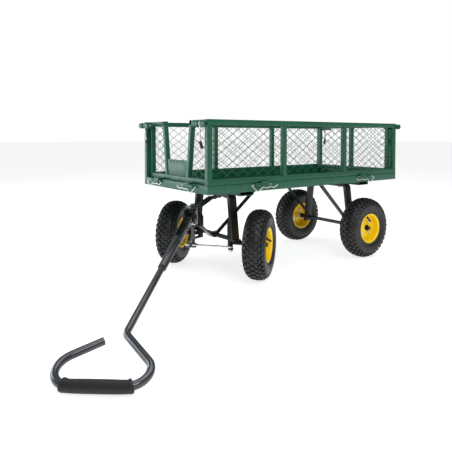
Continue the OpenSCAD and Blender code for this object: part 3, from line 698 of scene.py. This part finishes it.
MESH_PX, MESH_PZ = 47 * MM, 31 * MM  # width and height of a diamond
STRAND_W, STRAND_T = 1.35 * MM, 1.1 * MM
STRAND_RISE = 0.35 * MM  # how far a strand leans out of the sheet, and stops short of its knots
KNOT = 2.6 * MM
MESH_GROW = 2 * MM  # the sheet runs this far into its frame
NOTCH_LOW, NOTCH_HIGH = 85 * MM, 108 * MM  # inner edge of the front panel's mesh


def clip_line(p, q, window):
    """The part of segment p-q inside a convex window, or None."""
    t0, t1 = 0.0, 1.0
    d = q - p
    for a, b in zip(window, window[1:] + window[:1]):
        normal = Vector((a.y - b.y, b.x - a.x))
        top, rate = (p - a).dot(normal), d.dot(normal)
        if abs(rate) < 1e-12:
            if top < 0:
                return None
            continue
        t = -top / rate
        if rate > 0:
            t0 = max(t0, t)
        else:
            t1 = min(t1, t)
    return (p + d * t0, p + d * t1) if t1 - t0 > 1e-4 else None


def expanded(shape, window, lift):
    """Expanded-metal strands over a convex window in (u, z). lift(u, z, y) gives the point in space."""
    lo = Vector((min(p.x for p in window), min(p.y for p in window)))
    hi = Vector((max(p.x for p in window), max(p.y for p in window)))
    nx, nz = round((hi.x - lo.x) / MESH_PX), round((hi.y - lo.y) / MESH_PZ)
    px, pz = (hi.x - lo.x) / nx, (hi.y - lo.y) / nz
    knot = Vector((KNOT, 0))
    for row in range(2 * nz):
        z0 = lo.y + row * pz / 2
        for col in range(2 * nx):
            up = (row + col) % 2 == 0
            foot, head = (STRAND_RISE, pz / 2 - STRAND_RISE)[::1 if up else -1]
            a = Vector((lo.x + col * px / 2, z0 + foot))
            b = Vector((lo.x + (col + 1) * px / 2, z0 + head))
            points = [a, a + knot, b - knot, b]
            lean = STRAND_RISE if up else -STRAND_RISE
            for p, q in zip(points, points[1:]):
                part = clip_line(p, q, window)
                if part:
                    p, q = part
                    ends = [lift(p.x, p.y, -lean), lift(q.x, q.y, lean)]
                    shape.add(*sweep(ends, 0, 4, flat=(STRAND_T, STRAND_W)))


def mesh_piece(side, windows):
    """Expanded metal of one panel. windows are outlines in (along the side, z)."""
    node = f"panel_{side}_mesh"
    lo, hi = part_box(node)
    ends = abs(hi.x - lo.x) < abs(hi.y - lo.y)
    depth = (lo.x + hi.x) / 2 if ends else (lo.y + hi.y) / 2

    def lift(u, z, y):
        return Vector((depth + y, u, z)) if ends else Vector((u, depth + y, z))
    shape = Shape()
    for window in windows:
        expanded(shape, [Vector(p) for p in window], lift)
    shape.build("p_" + node, f"panel_{side}", GREEN, (node,), angle=25)


def bays(start, end, z0, z1, count):
    """Equal rectangular windows from start to end, with a post between each two."""
    bay = (end - start - (count - 1) * TUBE) / count
    low, high = z0 - MESH_GROW, z1 + MESH_GROW
    windows = []
    for k in range(count):
        u0 = start + k * (bay + TUBE)
        a, b = u0 - MESH_GROW, u0 + bay + MESH_GROW
        windows.append([(a, low), (b, low), (b, high), (a, high)])
    return windows


for side in ("near", "far"):
    lo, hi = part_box(f"panel_{side}_mesh")
    mesh_piece(side, bays(lo.x, hi.x, lo.z, hi.z, 3))
lo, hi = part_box("panel_rear_mesh")
mesh_piece("rear", bays(lo.y, hi.y, lo.z, hi.z, 2))
lo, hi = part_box("panel_front_mesh")
low, high, wide = lo.z - MESH_GROW, hi.z + MESH_GROW, hi.y + MESH_GROW
half = [(NOTCH_LOW, low), (wide, low), (wide, high), (NOTCH_HIGH, high)]
mesh_piece("front", [half, [(-u, z) for u, z in reversed(half)]])


# ---- hairpin clips ----

def clip_piece(node, outward):
    """Hairpin of zinc wire: straight pin leg, round bow and a wavy leg that springs on the knuckles.
    outward points away from the tray's edge; the bow is at the end nearer to a corner."""
    lo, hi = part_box(node)
    tangent = Vector((-outward.y, outward.x, 0))
    if (lo + hi).dot(tangent) < 0:
        tangent = -tangent
    pin = 2.2 * MM
    depths = [abs(lo.dot(outward)), abs(hi.dot(outward))]
    inner, outer = min(depths) + pin, max(depths) - 1.5 * MM
    z = hi.z - pin
    bow = max(lo.dot(tangent), hi.dot(tangent)) - 6.5 * MM

    def at(back, out, down):
        return tangent * (bow - back * MM) + outward * (inner + out * MM) + UP * (z + down * MM)
    gap = (outer - inner) / MM
    pin_leg = [at(88, 0, 0), at(0, 0, 0)]
    bend = [at(-5.0, gap * 0.25, -1.0), at(-5.2, gap * 0.9, -3.5)]
    wave = [at(back, gap, down) for back, down in [
        (2, -9), (20, -25), (31, -17), (42, -9), (51, -9.8), (60, -12), (70, -9), (80, -8),
        (88, -10.5), (97, -12), (112, -3)]]
    path = rounded(pin_leg + bend + wave, 5 * MM, 6)
    radii = []
    for p in path:
        from_tip = p - path[0]
        on_pin = abs(from_tip.dot(tangent)) < 86 * MM and from_tip.dot(outward) < 0.5 * MM
        radii.append(1.9 * MM if on_pin else 1.4 * MM)
    shape = Shape()
    shape.add(*sweep(path, radii, 12))
    shape.build("p_" + node, node, ZINC, (node,), angle=60)


for name in frame["nodes"]:
    if name.startswith("clip_"):
        clip_piece(name, turned(name.split("_")[1]) @ Vector((0, 1, 0)))


# ---- corner latches ----

def latch(side, where):
    """Bolt with its eye, pull rod and vinyl grip, at one end of an end panel."""
    body = f"latch_{side}_{where}"
    lo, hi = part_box(body + "_bolt")
    s = -1 if where == "near" else 1
    x = (lo.x + hi.x) / 2
    z = hi.z - 7.5 * MM
    inner, outer = sorted((abs(lo.y), abs(hi.y)))
    eye = outer - 12 * MM
    out = -1 if side == "front" else 1
    shape = Shape()
    path, radii = domed([(x, s * inner, z), (x, s * outer, z)], 4 * MM)
    shape.add(*sweep(path, radii, 20))
    ring = in_mm([(4.0, -2.4), (6.6, -2.4), (7.4, -1.6), (7.4, 1.6), (6.6, 2.4), (4.0, 2.4)])
    shape.add(*lathe(ring, 32), along((x, s * eye, z), (0, 1, 0)))
    grip_top = Vector((x - out * 3 * MM, s * (eye - 5.5 * MM), z - 60 * MM))
    grip_tip = Vector((x - out * 12 * MM, s * (eye - 6.5 * MM), z - 84 * MM))
    rod = rounded([(x, s * eye, z - 3 * MM), (x, s * (eye - 2.5 * MM), z - 34 * MM), grip_top,
                   grip_top.lerp(grip_tip, 0.4)], 40 * MM, 7)
    shape.add(*sweep(rod, 2.4 * MM, 14))
    shape.build("p_" + body + "_bolt", body, ZINC, (body + "_bolt",))
    grip = Shape()
    at = along(grip_top, grip_tip - grip_top)
    tall = (grip_tip - grip_top).length / MM
    profile = [(2.6, -2), (3.8, -2), (4.4, -1), (5.1, 0.8), (5.4, 2.4), (5.4, tall * 0.3),
               (5.0, tall * 0.45), (5.3, tall * 0.6), (5.3, tall - 3), (4.6, tall - 0.8), (2.8, tall),
               (0, tall), (0, -2)]
    grip.add(*lathe(in_mm(profile), 24), at)
    grip.build("p_" + body + "_grip", body, VINYL, (body + "_grip",))


for side in ("front", "rear"):
    for where in ("near", "far"):
        latch(side, where)


# ---- handle, drawn along -X from its pivot, its width along Y ----

tilt = JOINTS["handle_tilt"]
grip_lo, grip_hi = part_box("handle_grip")
grip_mid = (grip_lo + grip_hi) / 2
pivot = Vector(tilt["pos_m"])
hy = Vector(tilt["axis"]).normalized()
hx = (pivot - grip_mid).normalized()
AT_HANDLE = Matrix.Translation(pivot) @ Matrix((hx, hy, hx.cross(hy))).transposed().to_4x4()
HANDLE_LEN = (grip_mid - pivot).length
HANDLE_R, WALL = 9.5 * MM, 1.5 * MM
GRIP_HALF, GRIP_TURN = 76, math.radians(5)  # half the grip's length, mm
BEND_AT, SOCKET_AT = 666 * MM, 186 * MM  # along the tube, from the pivot
FAR_R, FAR_FROM, FAR_SLOPE, OPEN_LEG = 51 * MM, 58 * MM, math.radians(46), 76 * MM
NEAR_R, NEAR_FROM = 46 * MM, -55 * MM


def loop_path():
    """Centre line of the loop in the handle's plane, from the open end to the bend in the tube."""
    across = Vector((-math.sin(GRIP_TURN), math.cos(GRIP_TURN)))
    inward = Vector((math.cos(GRIP_TURN), math.sin(GRIP_TURN)))
    middle = Vector((-HANDLE_LEN, 0))
    far_c = middle + across * FAR_FROM + inward * FAR_R
    near_c = middle + across * NEAR_FROM + inward * NEAR_R
    to_c = near_c + Vector((BEND_AT, 0))
    slope = math.atan(to_c.y / to_c.x) + math.asin(NEAR_R / to_c.length)
    start = math.pi + GRIP_TURN

    def arc(c, r, a0, a1, steps=18):
        angles = [a0 + (a1 - a0) * k / steps for k in range(steps + 1)]
        return [c + Vector((math.cos(a), math.sin(a))) * r for a in angles]
    far = arc(far_c, FAR_R, math.pi / 2 - FAR_SLOPE, start)
    near = arc(near_c, NEAR_R, start, 1.5 * math.pi + slope)
    end = far[0] + Vector((math.cos(FAR_SLOPE), -math.sin(FAR_SLOPE))) * OPEN_LEG
    grip = [far[-1].lerp(near[0], k / 8) for k in range(1, 8)]
    flat = [end, *far, *grip, *near]
    stem = [(*near[-1], 0), (-BEND_AT, 0, 0), (-SOCKET_AT, 0, 0)]
    return [Vector((p.x, p.y, 0)) for p in flat] + rounded(stem, 30 * MM, 10)[1:]


def handle_tube(path):
    """Bent tube with an open end: an outer and an inner wall, joined at both ends."""
    sides = 28
    verts, faces = sweep(path, HANDLE_R, sides)
    verts_in, faces_in = sweep(path, HANDLE_R - WALL, sides)
    shape = Shape()
    shape.add(verts, faces[:-2])
    shape.add(verts_in, [f[::-1] for f in faces_in[:-2]])
    base = len(verts)
    for first in (0, (len(path) - 1) * sides):
        for i in range(sides):
            a, b = first + i, first + (i + 1) % sides
            shape.faces.append([a, b, base + b, base + a])
    shape.build("p_handle_tube", "handle", GREY, ("handle_tube",), at=AT_HANDLE)


def handle_grip(path):
    """Foam sleeve that follows the tube, with flared ends."""
    middle = Vector((-HANDLE_LEN, 0, 0))
    spot = min(range(len(path)), key=lambda k: (path[k] - middle).length)
    lengths = [0.0]
    for a, b in zip(path, path[1:]):
        lengths.append(lengths[-1] + (b - a).length)

    def at(d):
        k = max(i for i, v in enumerate(lengths[:-1]) if v <= d)
        return path[k].lerp(path[k + 1], (d - lengths[k]) / (lengths[k + 1] - lengths[k]))
    h = GRIP_HALF
    stops = [(h, 9.7), (h, 12.6), (h - 0.8, 14.4), (h - 2.4, 14.9), (h - 6, 14.8), (h - 9, 14.0),
             (h - 14, 13.7), (h - 26, 13.9), (h - 44, 14.2), (0, 14.3)]
    stops += [(-d, r) for d, r in reversed(stops[:-1])]
    path_in, radii = [], []
    for k, (d, r) in enumerate(stops):
        step = Vector((0, 0.02 * MM * k, 0))  # so that no two points coincide
        path_in.append(at(lengths[spot] - d * MM) + step)
        radii.append(r * MM)
    shape = Shape()
    shape.add(*sweep(path_in, radii, 40))
    shape.build("p_handle_grip", "handle", FOAM, ("handle_grip",), at=AT_HANDLE)


loop = loop_path()
handle_tube(loop)
handle_grip(loop)


# ---- spindles and steering head ----

def spindle(body, s):
    """Rod bent from the upright into the axle, with its collars, split pin and steering arm.
    s is -1 on the near side and 1 on the far side."""
    turn = JOINTS[body + "_turn"]
    hub = JOINTS["wheel_front_" + body.split("_")[1] + "_spin"]
    base = Vector((turn["pos_m"][0], turn["pos_m"][1], 0))
    wheel_at = Vector(hub["pos_m"])
    out = (wheel_at - base) * Vector((1, 1, 0))
    reach = out.length
    out.normalize()
    top = base + UP * (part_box(body)[1].z - 0.5 * MM)
    axle = base + UP * wheel_at.z
    shape = Shape()
    line = rounded([top, axle, axle + out * (reach + 31 * MM)], 19 * MM, 10)
    path, radii = domed(line, 8 * MM)
    shape.add(*sweep(path, radii, 28))
    across, upright = along(axle, out), along(base, UP)
    disc(shape, across, 12 * MM, reach - 38 * MM, reach - 32.5 * MM, 0.5 * MM)
    disc(shape, across, 12.5 * MM, reach + 15.5 * MM, reach + 17.5 * MM, 0.5 * MM)
    pin = axle + out * (reach + 22 * MM)
    shape.add(*sweep([pin - UP * 12 * MM, pin + UP * 12 * MM], 1.6 * MM, 12))
    disc(shape, upright, 11 * MM, 200.4 * MM, 203.4 * MM, 0.5 * MM)
    disc(shape, upright, 10.4 * MM, 114 * MM, 140.4 * MM, 0.8 * MM)
    ahead = (out * s).cross(UP)
    arm = (ahead * -36 + out * 12) * (45 / 37) * MM
    root = base + UP * 117 * MM
    eye, half = root + arm, UP * 3 * MM
    bar(shape, root, eye, 18 * MM, 6 * MM, 1 * MM, side=arm.cross(UP))
    sleeve(shape, eye - half, eye + half, 10 * MM, 5.7 * MM)
    shape.build("p_" + body, body, BLACK, (body,), angle=35)


def inset(outline, g):
    """Outline drawn in by g towards its middle."""
    cx = sum(p[0] for p in outline) / len(outline)
    cz = sum(p[1] for p in outline) / len(outline)
    return [(x - math.copysign(g, x - cx), z - math.copysign(g, z - cz)) for x, z in outline]


def yoke():
    """Fork with rounded arms welded to a bushing that turns on the kingpin."""
    steer = JOINTS["steer"]
    king = Vector((steer["pos_m"][0], steer["pos_m"][1], 0))
    bolt_at = Vector(tilt["pos_m"])
    back = king - bolt_at
    back.z = 0
    back.normalize()
    width = UP.cross(back)
    at = Matrix.Translation(king) @ Matrix((back, width, UP)).transposed().to_4x4()
    lo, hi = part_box("head_yoke")
    bushing = Shape()
    sleeve(bushing, UP * lo.z, UP * hi.z, 17 * MM, 7.2 * MM, 1 * MM)
    bushing.build("p_head_bushing", "head", ZINC, angle=35, at=at)
    fork = Shape()
    plate = [(-12, 206), (-58, 206), (-62, 206.6), (-65, 209), (-66, 213), (-66, 248), (-65, 252),
             (-62, 255), (-58, 256), (-12, 256)]
    layers = [(-3, 0.8), (-2.4, 0), (2.4, 0), (3, 0.8)]
    for y in (-18.5, 18.5):
        fork.add(*loft([[Vector((x, y + t, z)) * MM for x, z in inset(plate, g)] for t, g in layers]))
    bar(fork, (-16 * MM, 0, 230 * MM), (-33 * MM, 0, 230 * MM), 42.6 * MM, 49.6 * MM, 2 * MM,
        side=(0, 1, 0))
    weld_r = 17.4
    angles = [math.radians(115 + 130 * k / 20) for k in range(21)]
    for z in (205.5, 254.5):
        seam = [Vector((weld_r * math.cos(a), weld_r * math.sin(a), z)) * MM for a in angles]
        fork.add(*sweep(seam, 1.7 * MM, 8))
    fork.build("p_head_yoke", "head", BLACK, ("head_yoke",), angle=35, at=at)


spindle("spindle_near", -1)
spindle("spindle_far", 1)
yoke()


# ---- stage, light and camera ----

SPAN = 40
FLOOR_GLOW = 0.78
SKY_LIGHT, SKY_SEEN = 0.26, 1.0  # strength for the cart and for the camera

floor_mesh = bpy.data.meshes.new("floor")
corners = [(-SPAN, -SPAN, 0), (SPAN, -SPAN, 0), (SPAN, SPAN, 0), (-SPAN, SPAN, 0)]
floor_mesh.from_pydata(corners, [], [[0, 1, 2, 3]])
floor = bpy.data.objects.new("floor", floor_mesh)
bpy.context.scene.collection.objects.link(floor)
pale = material("floor_pale", (0.5, 0.5, 0.5), 0.9, mottle=0.01, specular=0.1, grain=50,
                grain_depth=0.1)
sockets = pale.node_tree.nodes["Principled BSDF"].inputs
sockets["Emission Color"].default_value = (1, 1, 1, 1)
sockets["Emission Strength"].default_value = FLOOR_GLOW
floor_mesh.materials.append(pale)

world = bpy.data.worlds.new("studio")
bpy.context.scene.world = world
world.use_nodes = True
sky = world.node_tree.nodes
background = sky["Background"]
background.inputs["Color"].default_value = (1, 1, 1, 1)
seen = sky.new("ShaderNodeLightPath").outputs["Is Camera Ray"]
level = sky.new("ShaderNodeMapRange")
level.inputs["To Min"].default_value = SKY_LIGHT
level.inputs["To Max"].default_value = SKY_SEEN
world.node_tree.links.new(seen, level.inputs["Value"])
world.node_tree.links.new(level.outputs["Result"], background.inputs["Strength"])


def softbox(name, size, energy, position, target, color=(1, 1, 1)):
    """Rectangular area light at position, turned to target."""
    light = bpy.data.lights.new(name, "AREA")
    light.shape = "RECTANGLE"
    light.size, light.size_y = size
    light.energy = energy
    light.color = color
    o = bpy.data.objects.new(name, light)
    o.location = position
    o.rotation_euler = (Vector(target) - Vector(position)).to_track_quat("-Z", "Y").to_euler()
    bpy.context.scene.collection.objects.link(o)


softbox("top", (3.0, 3.0), 60, (0.2, -0.2, 3.0), (0, 0, 0.3))
softbox("front_left", (2.4, 1.9), 58, (-2.35, 2.4, 0.97), (-0.3, 0, 0.3), (0.82, 0.93, 1.0))
softbox("key", (1.6, 1.6), 48, (-1.4, -3.2, 2.8), (0, 0, 0.3))

camera_data = bpy.data.cameras.new("camera")
camera_data.lens, camera_data.sensor_width = 37.45, 36
camera_data.shift_y = -0.166
camera = bpy.data.objects.new("camera", camera_data)
bpy.context.scene.collection.objects.link(camera)
camera.location = (-1.3695, -1.5305, 0.5321)
heading, pitch = math.radians(35.646), math.radians(-1.8326)
level_part = math.cos(pitch)
look = Vector((math.sin(heading) * level_part, math.cos(heading) * level_part, math.sin(pitch)))
camera.rotation_euler = look.to_track_quat("-Z", "Y").to_euler()
bpy.context.scene.camera = camera
bpy.context.scene.view_settings.view_transform = "Standard"
